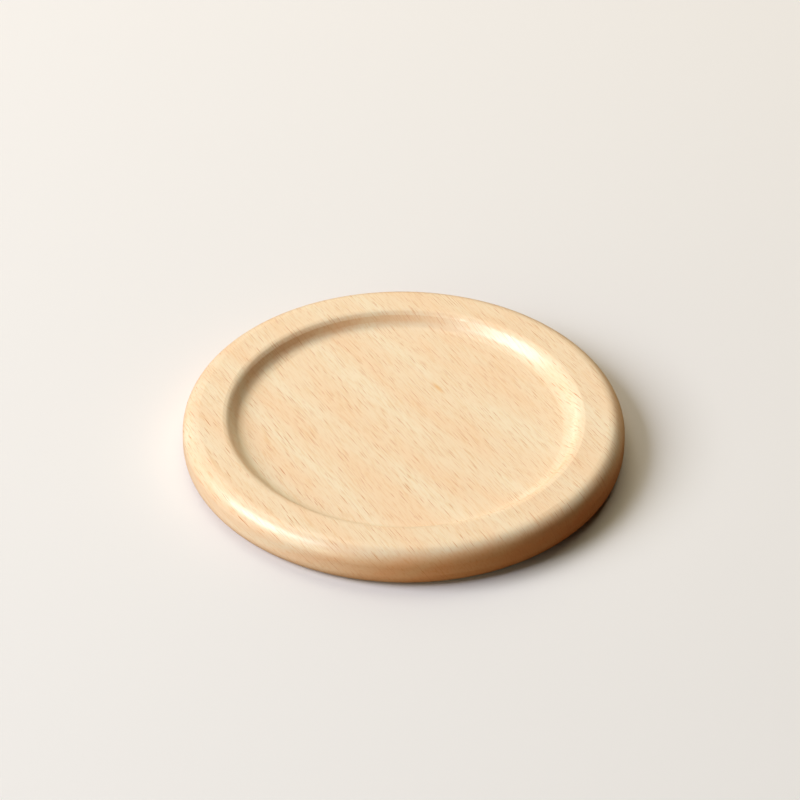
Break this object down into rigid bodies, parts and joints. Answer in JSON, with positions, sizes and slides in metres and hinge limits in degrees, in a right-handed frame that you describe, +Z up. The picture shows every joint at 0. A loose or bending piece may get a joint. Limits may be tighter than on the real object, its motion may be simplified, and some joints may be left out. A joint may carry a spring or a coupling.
{
  "type": "drink coaster",
  "caption": "Round coaster turned from beech, with a broad flat rim, rounded edges and a shallow recess with a flat floor and a sloping wall, for the foot of a glass or mug.",
  "frame": {"origin": "centre of the flat underside, on the surface that the coaster stands on", "axes": "+Z up along the lathe's axis, out of the recess; +X along the grain of the wood; +Y across the grain"},
  "size_m": [0.1, 0.1, 0.0095],
  "materials": {
    "beech": "pale unsteamed beech, flat sawn, sanded smooth under a thin clear satin lacquer"
  },
  "bodies": {
    "root": {"turned_disc": "beech"}
  },
  "joints": []
}
